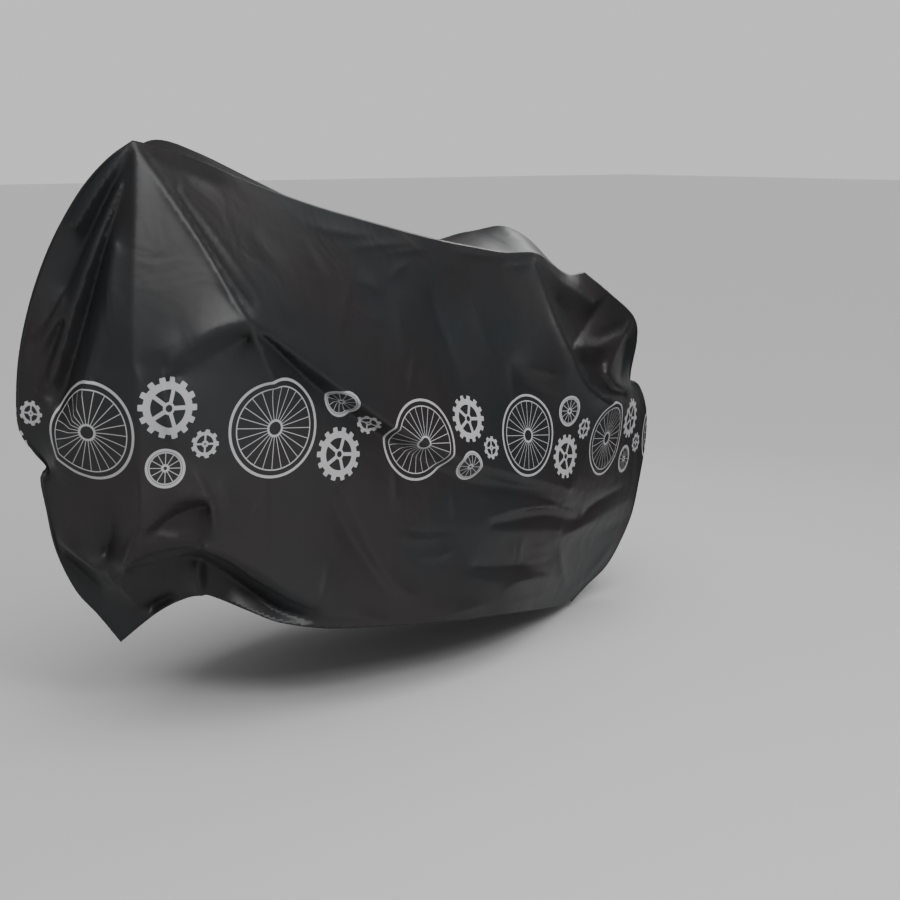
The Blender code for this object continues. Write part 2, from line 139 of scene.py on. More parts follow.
LEFT_FRAME = (
    # name, x, z, out, x, z, out, x, z, out
    ("front_ridge", -0.430, 1.125, 0.215, -0.430, 0.965, 0.262, -0.435, 0.755, 0.298),
    ("long_ridge", -0.425, 1.125, 0.215, -0.315, 1.000, 0.295, -0.175, 0.815, 0.400),
    ("knee_shelf", -0.355, 0.745, 0.345, -0.270, 0.790, 0.375, -0.175, 0.815, 0.400),
    ("long_shelf", -0.175, 0.815, 0.400, -0.030, 0.705, 0.380, 0.140, 0.580, 0.365),
    ("long_shelf_rear", 0.140, 0.580, 0.365, 0.345, 0.470, 0.335, 0.645, 0.345, 0.245),
    ("middle", 0.005, 0.540, 0.345, 0.015, 0.400, 0.350, 0.025, 0.255, 0.362),
    ("side_low", 0.240, 0.360, 0.335, 0.430, 0.300, 0.310, 0.615, 0.250, 0.235),
    ("hump_edge", 0.540, 0.865, 0.118, 0.580, 0.775, 0.180, 0.635, 0.680, 0.228),
    ("hump_edge_low", 0.635, 0.680, 0.228, 0.675, 0.605, 0.245, 0.740, 0.550, 0.225),
    ("rear_shelf", 0.740, 0.550, 0.225, 0.805, 0.515, 0.165, 0.890, 0.490, 0.045),
    ("front_line", -0.435, 0.750, 0.298, -0.435, 0.625, 0.300, -0.430, 0.490, 0.290),
    ("strap_line", -0.430, 0.490, 0.290, -0.440, 0.425, 0.278, -0.485, 0.355, 0.235),
    ("cuff_edge", -0.330, 0.565, 0.325, -0.290, 0.505, 0.335, -0.270, 0.455, 0.345),
    ("cuff_edge_low", -0.270, 0.455, 0.345, -0.270, 0.420, 0.345, -0.290, 0.390, 0.335),
)
LEFT_FOLDS = (
    # name, x, z, rise, x, z, rise, x, z, rise
    ("cheek_top", -0.455, 1.120, 0.004, -0.515, 1.055, 0.017, -0.575, 0.985, 0.017),
    ("peak_valley", -0.445, 1.110, -0.004, -0.510, 1.025, -0.022, -0.600, 0.885, -0.025),
    ("peak_valley_toe", -0.600, 0.885, -0.025, -0.640, 0.830, -0.014, -0.680, 0.795, -0.003),
    ("cheek_ridge", -0.610, 0.850, 0.006, -0.640, 0.800, 0.017, -0.690, 0.740, 0.008),
    ("cheek_valley", -0.610, 0.810, -0.007, -0.645, 0.750, -0.008, -0.680, 0.685, -0.004),
    ("cheek_crease", -0.465, 1.055, 0.000, -0.540, 0.920, 0.014, -0.640, 0.705, 0.017),
    ("jaw_valley", -0.455, 1.060, -0.008, -0.510, 0.940, -0.025, -0.555, 0.830, -0.031),
    ("jaw_low", -0.555, 0.830, -0.031, -0.590, 0.740, -0.020, -0.630, 0.650, -0.010),
    ("step_edge", -0.510, 0.825, 0.006, -0.555, 0.695, 0.022, -0.645, 0.545, 0.022),
    ("mouth_lip", -0.715, 0.610, 0.003, -0.665, 0.665, 0.011, -0.640, 0.635, 0.004),
    ("front_crease", -0.475, 0.955, 0.008, -0.490, 0.855, 0.011, -0.470, 0.765, 0.006),
    ("long_valley", -0.370, 1.080, -0.006, -0.275, 0.965, -0.014, -0.170, 0.835, -0.014),
    ("long_echo", -0.330, 1.050, 0.003, -0.230, 0.940, 0.007, -0.140, 0.835, 0.003),
    ("top_echo", -0.335, 1.075, 0.002, -0.235, 1.005, 0.006, -0.120, 0.920, 0.005),
    ("top_valley", -0.400, 1.110, -0.006, -0.345, 1.090, -0.011, -0.265, 1.055, -0.008),
    ("knee_under", -0.185, 0.780, -0.022, -0.260, 0.750, -0.031, -0.350, 0.715, -0.020),
    ("knee_crease", -0.175, 0.805, 0.000, -0.150, 0.755, 0.014, -0.125, 0.685, 0.011),
    ("long_under", -0.150, 0.780, -0.020, -0.035, 0.665, -0.034, 0.140, 0.530, -0.031),
    ("long_under_rear", 0.140, 0.530, -0.031, 0.345, 0.420, -0.025, 0.620, 0.315, -0.008),
    ("shin_left", -0.440, 0.750, 0.000, -0.485, 0.730, 0.011, -0.530, 0.715, 0.008),
    ("shin_right", -0.365, 0.725, 0.006, -0.360, 0.640, 0.014, -0.330, 0.565, 0.000),
    ("pouch_lip", -0.275, 0.485, 0.006, -0.350, 0.485, 0.017, -0.425, 0.435, 0.006),
    ("pouch_foot", -0.285, 0.465, -0.014, -0.350, 0.450, -0.018, -0.415, 0.420, -0.010),
    ("pouch_belly", -0.290, 0.405, 0.003, -0.360, 0.405, 0.012, -0.440, 0.390, 0.004),
    ("skirt_lip", -0.470, 0.365, 0.006, -0.390, 0.385, 0.011, -0.305, 0.395, 0.014),
    ("skirt_lip_mid", -0.305, 0.395, 0.014, -0.255, 0.365, 0.025, -0.195, 0.310, 0.031),
    ("skirt_lip_rear", -0.195, 0.310, 0.031, -0.120, 0.265, 0.031, -0.040, 0.230, 0.017),
    ("skirt_foot", -0.480, 0.330, -0.020, -0.405, 0.350, -0.025, -0.325, 0.350, -0.031),
    ("skirt_foot_mid", -0.325, 0.350, -0.031, -0.280, 0.315, -0.031, -0.215, 0.265, -0.031),
    ("skirt_foot_rear", -0.215, 0.265, -0.031, -0.140, 0.225, -0.020, -0.055, 0.205, -0.003),
    ("skirt_tail", -0.040, 0.230, 0.020, -0.025, 0.265, 0.017, -0.020, 0.330, 0.006),
    ("skirt_pleat", -0.330, 0.345, -0.025, -0.335, 0.315, -0.003, -0.335, 0.275, 0.006),
    ("pleat_foot", -0.310, 0.330, -0.031, -0.310, 0.300, -0.020, -0.310, 0.270, -0.008),
    ("hem_dent", -0.465, 0.230, -0.020, -0.430, 0.245, -0.025, -0.395, 0.260, -0.014),
    ("toe_ridge", -0.655, 0.395, 0.008, -0.610, 0.375, 0.020, -0.565, 0.345, 0.022),
    ("toe_under", -0.650, 0.350, -0.008, -0.610, 0.315, -0.014, -0.575, 0.285, -0.008),
    ("shin_line", -0.570, 0.520, 0.004, -0.575, 0.440, 0.009, -0.570, 0.365, 0.012),
    ("calf", -0.510, 0.480, -0.008, -0.520, 0.420, -0.014, -0.540, 0.370, -0.018),
    ("toe_notch", -0.530, 0.345, 0.011, -0.525, 0.310, 0.017, -0.485, 0.350, 0.011),
    ("toe_line", -0.515, 0.310, 0.006, -0.500, 0.285, 0.014, -0.495, 0.255, 0.008),
    ("tail_line", 0.560, 0.865, 0.006, 0.630, 0.810, 0.017, 0.725, 0.755, 0.020),
    ("tail_face", 0.605, 0.775, -0.022, 0.645, 0.750, -0.028, 0.675, 0.725, -0.020),
    ("tail_valley", 0.770, 0.760, -0.008, 0.710, 0.715, -0.025, 0.645, 0.680, -0.017),
    ("tail_facet", 0.660, 0.670, 0.011, 0.745, 0.660, 0.025, 0.830, 0.670, 0.014),
    ("tail_dent", 0.715, 0.685, -0.008, 0.780, 0.675, -0.011, 0.850, 0.690, 0.000),
    ("tail_fold", 0.865, 0.695, 0.011, 0.795, 0.635, 0.025, 0.765, 0.600, 0.022),
    ("tail_hollow", 0.855, 0.650, -0.017, 0.840, 0.600, -0.025, 0.825, 0.570, -0.020),
    ("tail_fold_low", 0.765, 0.600, 0.022, 0.800, 0.560, 0.020, 0.875, 0.525, 0.008),
    ("tail_inner", 0.675, 0.635, -0.020, 0.720, 0.625, -0.025, 0.755, 0.615, -0.011),
    ("tail_pocket", 0.700, 0.585, -0.022, 0.755, 0.560, -0.034, 0.840, 0.520, -0.020),
    ("side_fold", 0.455, 0.665, 0.003, 0.520, 0.650, 0.011, 0.580, 0.625, 0.006),
    ("side_hollow", 0.490, 0.610, -0.008, 0.550, 0.580, -0.014, 0.610, 0.560, -0.008),
    ("flank_ridge", 0.140, 0.835, 0.006, 0.190, 0.715, 0.010, 0.265, 0.605, 0.006),
    ("flank_valley", 0.235, 0.805, -0.007, 0.290, 0.700, -0.011, 0.340, 0.595, -0.008),
    ("rear_lip", 0.400, 0.335, 0.003, 0.550, 0.325, 0.014, 0.670, 0.275, 0.006),
    ("rear_foot", 0.410, 0.315, -0.006, 0.570, 0.295, -0.014, 0.675, 0.250, -0.006),
    ("rear_diag", 0.590, 0.235, 0.003, 0.710, 0.230, 0.011, 0.870, 0.235, 0.006),
    ("rear_diag_low", 0.655, 0.195, -0.008, 0.760, 0.180, -0.011, 0.855, 0.180, -0.006),
    ("low_fold", 0.345, 0.220, 0.006, 0.465, 0.180, 0.014, 0.595, 0.145, 0.006),
    ("low_foot", 0.355, 0.235, -0.008, 0.470, 0.205, -0.014, 0.580, 0.175, -0.008),
)
NEAR_CREASES = (
    # name, x, z, rise, x, z, rise, x, z, rise, width to its left, width to its right
    ("strip_valley", -0.440, 1.115, 0, -0.515, 1.030, -0.009, -0.605, 0.875, -0.009, 0.035, 0.045),
    ("strip_fold_a", -0.530, 1.020, 0, -0.555, 1.005, -0.003, -0.590, 0.985, 0, 0.012, 0.009),
    ("strip_fold_b", -0.570, 0.960, 0, -0.605, 0.940, -0.004, -0.635, 0.930, 0, 0.014, 0.01),
    ("strip_fold_c", -0.600, 0.920, 0, -0.625, 0.910, -0.003, -0.650, 0.905, 0, 0.012, 0.008),
    ("cheek_pleat", -0.445, 1.105, 0, -0.510, 0.965, 0.0035, -0.580, 0.820, 0.003, 0.01, 0.032),
    ("cheek_pleat_low", -0.580, 0.820, 0.003, -0.615, 0.740, 0.003, -0.660, 0.660, 0, 0.012, 0.028),
    ("ridge_side", -0.445, 1.105, 0, -0.460, 1.025, -0.003, -0.485, 0.950, -0.001, 0.016, 0.022),
    ("jaw_crease", -0.475, 0.955, 0, -0.485, 0.865, 0.007, -0.470, 0.760, 0.003, 0.035, 0.009),
    ("jaw_fold", -0.500, 0.850, 0, -0.515, 0.785, 0.009, -0.545, 0.705, 0.008, 0.03, 0.01),
    ("jaw_fold_low", -0.545, 0.705, 0.008, -0.590, 0.625, 0.008, -0.650, 0.540, 0, 0.026, 0.01),
    ("face_fold", -0.655, 0.850, 0, -0.675, 0.785, 0.003, -0.700, 0.740, 0, 0.02, 0.02),
    ("face_dip", -0.585, 0.780, 0, -0.620, 0.695, -0.004, -0.655, 0.620, 0, 0.02, 0.018),
    ("nose_fold", -0.705, 0.610, 0, -0.660, 0.660, 0.0025, -0.635, 0.650, 0.002, 0.016, 0.02),
    ("nose_fold_low", -0.635, 0.650, 0.002, -0.620, 0.635, 0.002, -0.625, 0.605, 0, 0.014, 0.018),
    ("ridge_line", -0.420, 1.115, 0, -0.350, 1.030, 0.0025, -0.270, 0.940, 0.003, 0.009, 0.005),
    ("ridge_line_low", -0.270, 0.940, 0.003, -0.205, 0.845, 0.003, -0.170, 0.815, 0.001, 0.009, 0.005),
    ("echo_ridge", -0.375, 1.080, 0, -0.325, 1.030, 0.003, -0.260, 0.950, 0.003, 0.007, 0.005),
    ("echo_ridge_low", -0.260, 0.950, 0.003, -0.190, 0.860, 0.003, -0.150, 0.810, 0, 0.008, 0.006),
    ("echo_ridge_far", -0.165, 0.960, 0, -0.110, 0.840, 0.004, -0.060, 0.755, 0, 0.016, 0.014),
    ("echo_ridge_mid", -0.330, 1.080, 0, -0.265, 1.015, 0.0015, -0.195, 0.945, 0, 0.014, 0.009),
    ("echo_ridge_mid_two", -0.210, 0.990, 0, -0.140, 0.910, 0.0035, -0.070, 0.785, 0, 0.014, 0.008),
    ("top_gutter", -0.415, 1.120, 0, -0.370, 1.090, -0.005, -0.310, 1.070, 0, 0.014, 0.014),
    ("top_band", -0.405, 1.125, 0, -0.325, 1.095, 0.0025, -0.225, 1.060, 0, 0.012, 0.016),
    ("peak_dent", -0.340, 1.075, 0, -0.345, 1.055, -0.004, -0.350, 1.035, 0, 0.012, 0.007),
    ("base_lip", -0.430, 0.750, 0, -0.370, 0.765, 0.0035, -0.320, 0.790, 0, 0.022, 0.008),
    ("knee_lip", -0.340, 0.775, 0, -0.255, 0.805, 0.0025, -0.180, 0.815, 0.001, 0.02, 0.008),
    ("knee_fold", -0.360, 0.715, 0, -0.300, 0.740, 0.005, -0.205, 0.760, 0, 0.012, 0.018),
    ("knee_drop", -0.170, 0.800, 0, -0.150, 0.755, 0.004, -0.105, 0.665, 0, 0.014, 0.008),
    ("knee_left", -0.435, 0.755, 0, -0.425, 0.720, 0.005, -0.420, 0.680, 0, 0.01, 0.012),
    ("shelf_tuck", -0.160, 0.780, 0, -0.075, 0.700, -0.009, 0.040, 0.605, -0.009, 0.014, 0.045),
    ("shelf_tuck_rear", 0.040, 0.605, -0.009, 0.160, 0.525, -0.008, 0.355, 0.430, 0, 0.014, 0.045),
    ("shelf_crest", -0.170, 0.810, 0, -0.070, 0.740, 0.005, 0.020, 0.665, 0.004, 0.03, 0.008),
    ("shelf_crest_rear", 0.020, 0.665, 0.004, 0.150, 0.570, 0.005, 0.320, 0.485, 0, 0.03, 0.009),
    ("shelf_streak", -0.030, 0.730, 0, 0.045, 0.670, 0.004, 0.170, 0.580, 0, 0.01, 0.008),
    ("shelf_streak_two", -0.080, 0.775, 0, -0.005, 0.720, 0.003, 0.080, 0.655, 0, 0.014, 0.009),
    ("shelf_curve", -0.015, 0.720, 0, 0.030, 0.695, 0.003, 0.110, 0.675, 0, 0.007, 0.005),
    ("post_crease", 0.040, 0.915, 0, 0.030, 0.835, 0.004, 0.010, 0.730, 0, 0.006, 0.007),
    ("post_top", 0.020, 0.925, 0, 0.105, 0.925, 0.0055, 0.260, 0.920, 0, 0.009, 0.006),
    ("top_wrinkle", -0.090, 0.980, 0, 0.010, 0.955, 0.005, 0.100, 0.940, 0, 0.009, 0.006),
    ("top_wrinkle_two", 0.100, 0.910, 0, 0.175, 0.910, 0.0055, 0.245, 0.910, 0, 0.005, 0.005),
    ("post_patch", 0.040, 0.870, 0, 0.080, 0.850, 0.0065, 0.120, 0.825, 0, 0.012, 0.006),
    ("post_wedge", 0.130, 0.850, 0, 0.155, 0.875, 0.005, 0.195, 0.885, 0, 0.009, 0.006),
    ("soft_column", 0.150, 0.840, 0, 0.165, 0.755, 0.008, 0.190, 0.670, 0, 0.026, 0.022),
    ("soft_hollow", 0.220, 0.870, 0, 0.260, 0.755, -0.011, 0.320, 0.635, 0, 0.032, 0.026),
    ("bead_line", 0.195, 0.735, 0, 0.195, 0.690, 0.005, 0.180, 0.620, 0, 0.007, 0.005),
    ("hump_wrinkle", 0.265, 0.915, 0, 0.360, 0.890, 0.005, 0.525, 0.875, 0, 0.008, 0.006),
    ("hump_wrinkle_two", 0.435, 0.865, 0, 0.480, 0.860, 0.005, 0.535, 0.860, 0, 0.005, 0.005),
    ("side_column", 0.345, 0.820, 0, 0.380, 0.735, 0.0065, 0.430, 0.640, 0, 0.028, 0.028),
    ("side_tuck", 0.455, 0.665, 0, 0.525, 0.640, 0.008, 0.635, 0.615, 0, 0.026, 0.01),
    ("side_tuck_end", 0.460, 0.660, 0, 0.465, 0.610, 0.0065, 0.480, 0.555, 0, 0.016, 0.008),
    ("hump_crease", 0.550, 0.865, 0, 0.600, 0.735, 0.008, 0.685, 0.600, 0.008, 0.01, 0.008),
    ("hump_crease_low", 0.685, 0.600, 0.008, 0.750, 0.555, 0.008, 0.905, 0.485, 0, 0.012, 0.009),
    ("v_edge", 0.610, 0.825, 0, 0.675, 0.790, 0.007, 0.725, 0.760, 0.005, 0.008, 0.026),
    ("v_valley", 0.635, 0.680, 0, 0.710, 0.720, -0.013, 0.775, 0.765, 0, 0.03, 0.028),
    ("v_tip", 0.725, 0.760, 0.005, 0.755, 0.760, 0.008, 0.780, 0.775, 0, 0.01, 0.007),
    ("tail_patch", 0.640, 0.815, 0, 0.665, 0.795, 0.0065, 0.700, 0.810, 0, 0.009, 0.009),
    ("tail_dip", 0.710, 0.680, 0, 0.795, 0.685, -0.0095, 0.875, 0.705, 0, 0.01, 0.014),
    ("tail_ridge", 0.645, 0.670, 0, 0.755, 0.665, 0.012, 0.870, 0.695, 0.003, 0.03, 0.006),
    ("tail_corner", 0.770, 0.595, 0, 0.820, 0.645, 0.011, 0.870, 0.690, 0.003, 0.02, 0.007),
    ("tail_rim", 0.765, 0.600, 0, 0.810, 0.555, 0.0095, 0.900, 0.520, 0, 0.012, 0.007),
    ("tail_under", 0.685, 0.600, 0, 0.750, 0.585, -0.011, 0.820, 0.540, 0, 0.007, 0.014),
    ("tail_roll", 0.695, 0.580, 0, 0.770, 0.540, 0.008, 0.910, 0.500, 0, 0.012, 0.01),
    ("blade", -0.430, 0.550, 0, -0.430, 0.485, 0.012, -0.430, 0.440, 0.012, 0.018, 0.012),
    ("blade_low", -0.430, 0.440, 0.012, -0.460, 0.400, 0.013, -0.485, 0.360, 0, 0.018, 0.012),
    ("pouch_rim", -0.335, 0.565, 0, -0.290, 0.505, 0.009, -0.270, 0.450, 0.0105, 0.009, 0.018),
    ("pouch_rim_low", -0.270, 0.450, 0.0105, -0.270, 0.415, 0.009, -0.285, 0.390, 0, 0.009, 0.016),
    ("pouch_shade", -0.430, 0.420, 0, -0.375, 0.475, -0.005, -0.280, 0.480, -0.002, 0.018, 0.014),
    ("pouch_roll", -0.420, 0.425, 0, -0.350, 0.440, 0.004, -0.275, 0.455, 0, 0.016, 0.012),
    ("pouch_base", -0.430, 0.420, 0, -0.380, 0.405, 0.0035, -0.330, 0.390, 0, 0.012, 0.008),
    ("mouth_tuck", -0.475, 0.360, 0, -0.425, 0.370, -0.015, -0.320, 0.385, -0.0045, 0.006, 0.014),
    ("skirt_crest", -0.325, 0.390, 0.003, -0.220, 0.350, 0.01, -0.070, 0.250, 0.003, 0.04, 0.009),
    ("skirt_tuck", -0.295, 0.375, -0.0045, -0.200, 0.305, -0.016, -0.050, 0.225, -0.005, 0.008, 0.03),
    ("cuff_top", -0.470, 0.350, 0, -0.410, 0.355, 0.009, -0.325, 0.370, 0, 0.007, 0.014),
    ("cuff_fold", -0.315, 0.370, 0, -0.325, 0.315, 0.013, -0.330, 0.260, 0.01, 0.006, 0.024),
    ("cuff_hollow", -0.480, 0.300, 0, -0.425, 0.325, -0.009, -0.345, 0.345, 0, 0.012, 0.018),
    ("hem_tuck", -0.485, 0.255, 0, -0.465, 0.230, -0.009, -0.385, 0.260, 0, 0.007, 0.009),
    ("toe_crease", -0.665, 0.395, 0, -0.615, 0.370, 0.012, -0.570, 0.340, 0.008, 0.022, 0.006),
    ("toe_crease_turn", -0.570, 0.340, 0.004, -0.545, 0.360, 0.0025, -0.510, 0.385, 0, 0.012, 0.012),
    ("toe_knot", -0.535, 0.345, 0, -0.530, 0.315, 0.0105, -0.495, 0.340, 0, 0.008, 0.007),
    ("toe_tail", -0.515, 0.320, 0, -0.500, 0.285, 0.006, -0.490, 0.245, 0, 0.007, 0.006),
    ("calf_edge", -0.570, 0.490, 0, -0.575, 0.420, 0.005, -0.570, 0.355, 0.003, 0.005, 0.022),
    ("mid_crease", -0.155, 0.520, 0, -0.160, 0.455, 0.005, -0.155, 0.370, 0.005, 0.006, 0.007),
    ("mid_crease_low", -0.155, 0.370, 0.005, -0.145, 0.340, 0.0045, -0.130, 0.305, 0, 0.006, 0.007),
    ("mid_wing", -0.205, 0.430, 0, -0.180, 0.445, 0.0045, -0.165, 0.470, 0, 0.009, 0.008),
    ("pleat_end", -0.015, 0.330, 0, -0.020, 0.280, 0.004, -0.040, 0.230, 0.002, 0.016, 0.009),
    ("column_a", 0.010, 0.490, 0, 0.010, 0.465, 0.006, 0.010, 0.445, 0, 0.006, 0.006),
    ("column_b", 0.145, 0.485, 0, 0.150, 0.435, 0.0075, 0.150, 0.390, 0, 0.005, 0.006),
    ("column_c", 0.300, 0.415, 0, 0.300, 0.380, 0.0045, 0.300, 0.350, 0, 0.005, 0.005),
    ("level_a", 0.130, 0.340, 0, 0.215, 0.325, 0.008, 0.310, 0.320, 0, 0.006, 0.005),
    ("level_dip", 0.155, 0.355, 0, 0.230, 0.330, -0.0075, 0.320, 0.320, 0, 0.007, 0.005),
    ("level_b", 0.200, 0.285, 0, 0.255, 0.280, 0.0075, 0.305, 0.285, 0, 0.005, 0.005),
    ("long_hollow", -0.030, 0.495, 0, 0.040, 0.350, -0.022, 0.165, 0.190, 0, 0.042, 0.042),
    ("long_swell", 0.020, 0.460, 0, 0.090, 0.320, 0.009, 0.150, 0.235, 0.006, 0.026, 0.02),
    ("swell_end", 0.125, 0.265, 0, 0.165, 0.230, 0.007, 0.220, 0.195, 0, 0.016, 0.01),
    ("mid_swell", -0.265, 0.535, 0, -0.230, 0.455, 0.0075, -0.205, 0.365, 0, 0.026, 0.026),
    ("hem_roll", -0.030, 0.215, 0.003, 0.060, 0.195, 0.008, 0.145, 0.170, 0, 0.01, 0.008),
    ("hem_roll_rear", 0.250, 0.155, 0, 0.325, 0.155, 0.012, 0.415, 0.145, 0, 0.009, 0.007),
    ("rear_tuck", 0.390, 0.330, 0, 0.520, 0.320, -0.0165, 0.635, 0.300, -0.0165, 0.009, 0.022),
    ("rear_tuck_end", 0.635, 0.300, -0.0165, 0.665, 0.285, -0.0165, 0.690, 0.255, -0.0075, 0.008, 0.016),
    ("rear_wedge", 0.690, 0.255, -0.0075, 0.735, 0.270, -0.0195, 0.855, 0.280, 0, 0.01, 0.022),
    ("rear_line", 0.590, 0.230, 0, 0.680, 0.225, 0.014, 0.860, 0.200, 0, 0.024, 0.014),
    ("box_side", 0.505, 0.270, 0, 0.490, 0.240, 0.008, 0.490, 0.195, 0, 0.007, 0.006),
    ("box_side_two", 0.465, 0.270, 0, 0.470, 0.240, 0.0045, 0.475, 0.210, 0, 0.005, 0.005),
    ("box_rib", 0.520, 0.235, 0, 0.555, 0.225, 0.006, 0.595, 0.215, 0, 0.004, 0.004),
    ("box_rib_two", 0.500, 0.205, 0, 0.555, 0.195, 0.0075, 0.610, 0.180, 0, 0.005, 0.005),
    ("rear_dash", 0.335, 0.240, 0, 0.425, 0.210, -0.014, 0.510, 0.190, 0, 0.009, 0.012),
    ("rear_dash_two", 0.475, 0.190, 0, 0.555, 0.160, -0.012, 0.630, 0.130, 0, 0.008, 0.009),
    ("box_edge", 0.615, 0.210, 0, 0.625, 0.160, 0.012, 0.655, 0.065, 0, 0.012, 0.012),
    ("low_edge", 0.425, 0.155, 0, 0.490, 0.170, 0.014, 0.630, 0.115, 0, 0.009, 0.02),
    ("low_line", 0.445, 0.135, 0, 0.530, 0.110, 0.01, 0.635, 0.080, 0, 0.007, 0.006),
    ("rear_soft", 0.695, 0.065, 0, 0.775, 0.100, 0.01, 0.845, 0.150, 0, 0.018, 0.018),
    ("rear_shade", 0.345, 0.440, 0, 0.460, 0.390, -0.014, 0.665, 0.330, 0, 0.014, 0.018),
    ("shin_pleat", -0.360, 0.720, 0, -0.360, 0.630, 0.005, -0.350, 0.555, 0, 0.022, 0.006),
    ("shin_pleat_left", -0.420, 0.745, 0, -0.420, 0.640, 0.004, -0.430, 0.550, 0, 0.006, 0.01),
    ("tail_facet_rim", 0.725, 0.760, 0, 0.695, 0.715, 0.004, 0.640, 0.675, 0, 0.008, 0.01),
    ("mid_flank", -0.330, 0.555, 0, -0.250, 0.475, 0.004, -0.215, 0.375, 0, 0.014, 0.03),
    ("seam_wrinkle", -0.400, 1.120, 0, -0.305, 1.085, 0.003, -0.170, 1.045, 0, 0.006, 0.005),
    ("upper_streak", -0.085, 0.960, 0, -0.045, 0.905, 0.003, -0.010, 0.830, 0, 0.007, 0.01),
    ("upper_streak_two", 0.040, 0.825, 0, 0.090, 0.785, 0.0035, 0.155, 0.765, 0, 0.008, 0.006),
    ("shelf_echo", -0.150, 0.755, 0, -0.075, 0.665, 0.004, 0.045, 0.570, 0, 0.01, 0.016),
    ("low_echo", -0.145, 0.330, 0, -0.080, 0.275, 0.004, 0.000, 0.230, 0, 0.009, 0.006),
    ("rear_echo", 0.345, 0.395, 0, 0.430, 0.365, 0.004, 0.590, 0.335, 0, 0.007, 0.005),
    ("rear_echo_two", 0.700, 0.370, 0, 0.770, 0.370, 0.005, 0.850, 0.405, 0, 0.008, 0.006),
    ("rear_low_streak", 0.630, 0.050, 0, 0.740, 0.070, 0.005, 0.820, 0.130, 0, 0.009, 0.007),
)


def through(points, step):
    """Points on a smooth curve through the given ones, each stretch cut evenly to about a step."""
    points = np.array(points, float)
    padded = np.vstack([2 * points[0] - points[1], points, 2 * points[-1] - points[-2]])
    curve = []
    for before, start, end, after in zip(padded, padded[1:], padded[2:], padded[3:]):
        cuts = max(1, round(np.linalg.norm(end - start) / step))
        for share in np.arange(cuts) / cuts:
            slope = 0.5 * (end - before)
            bend = before - 2.5 * start + 2 * end - 0.5 * after
            twist = 1.5 * (start - end) + 0.5 * (after - before)
            curve.append(start + share * slope + share**2 * bend + share**3 * twist)
    return np.array(curve + [points[-1]])


def fold_line(row, step):
    """The smooth line through the three places of a table's row."""
    return through(np.reshape(row[1:10], (3, 3)), step)


def crossed(one, other):
    """Twice the area between each pair of flat arrows, with its sign."""
    return one[:, 0] * other[:, 1] - one[:, 1] * other[:, 0]


def facets(outline, folds, step, creases=()):
    """Triangles that fill a flat outline, with an edge along each fold and corners along creases.

    Rows of the outline and the folds are two places and a value to hold there. Returns the
    corners' places, the triangles, the held corners with their row, and the values there.
    """
    row_height = 0.866 * step  # of triangles with even sides
    crease_clear, fill_clear = 0.5 * step, 0.62 * step  # how near new corners come to those before
    one_corner = 0.1 * step  # corners nearer than this become one
    lines = [np.asarray(line) for line in [outline] + folds]
    given = np.vstack(lines)
    edges = [(k, (k + 1) % len(outline)) for k in range(len(outline))]
    first = len(outline)
    for line in lines[1:]:
        edges += [(first + k, first + k + 1) for k in range(len(line) - 1)]
        first += len(line)
    low, high = given[:, :2].min(0), given[:, :2].max(0)
    fill = []
    for spot in np.vstack([np.empty((0, 2)), *creases]):
        if np.linalg.norm(np.vstack([given[:, :2], *fill]) - spot, axis=1).min() > crease_clear:
            fill.append(spot)
    taken = np.vstack([given[:, :2], *fill])
    for row, height in enumerate(np.arange(low[1], high[1], row_height)):
        near = taken[np.abs(taken[:, 1] - height) < step]
        across = np.arange(low[0] + 0.5 * step * (row % 2), high[0], step)
        spots = np.column_stack([across, np.full(len(across), height)])
        away = np.linalg.norm(spots[:, None] - near[None], axis=2).min(1, initial=np.inf)
        fill.append(spots[away > fill_clear])
    everything = [Vector(place) for place in np.vstack([given[:, :2], *fill])]
    places, _, faces, origins, _, _ = delaunay_2d_cdt(everything, edges, [], 1, one_corner)
    used = sorted({corner for face in faces for corner in face})
    renumbered = {corner: k for k, corner in enumerate(used)}
    faces = [[renumbered[corner] for corner in face] for face in faces]
    places = np.array([tuple(places[corner]) for corner in used])
    held, values = [], []
    for corner in used:
        rows = [row for row in origins[corner] if row < len(given)]
        if rows:
            held.append((renumbered[corner], min(rows)))
            values.append(given[min(rows), 2])
    return places, np.array(faces), np.array(held), np.array(values)


def pulls(places, faces):
    """The film's edges, and how strongly each one pulls its two ends together."""
    least_area, least_pull = 1e-9, 0.01  # so that a very thin triangle doesn't upset its edges
    ends, weights = [], []
    for turn in range(3):
        corner, one, other = faces[:, [turn, (turn + 1) % 3, (turn + 2) % 3]].T
        to_one, to_other = places[one] - places[corner], places[other] - places[corner]
        area = np.abs(crossed(to_one, to_other))
        ends.append(np.sort(np.column_stack([one, other]), axis=1))
        weights.append((to_one * to_other).sum(1) / np.maximum(area, least_area) / 2)
    ends, shared = np.unique(np.vstack(ends), axis=0, return_inverse=True)
    return ends, np.maximum(np.bincount(shared.ravel(), np.concatenate(weights)), least_pull)


def settled(net, film, fixed, weight, passes=4000):
    """The film pulled tight between its fixed corners, or eased where a weight ties it to its place.

    It is found in passes, each of which moves the film in a way that keeps what those before it did.
    """
    still = 2e-6  # metres that a corner may still be about to move at the end
    (one, other), strength = net[0].T, net[1]
    count = len(film)
    pull = np.bincount(one, strength, count) + np.bincount(other, strength, count) + weight
    free = np.ones(count)
    free[fixed] = 0

    def uneven(sheet):
        drop = strength * (sheet[one] - sheet[other])
        return free * (np.bincount(one, drop, count) - np.bincount(other, drop, count) + weight * sheet)

    left = free * weight * film - uneven(film)
    step = left / pull
    rest = left @ step
    for _ in range(passes):
        change = uneven(step)
        stride = rest / (step @ change)
        film = film + stride * step
        left -= stride * change
        eased = left / pull
        if np.abs(eased).max() < still:
            break
        rest, before = left @ eased, rest
        step = eased + rest / before * step
    return film


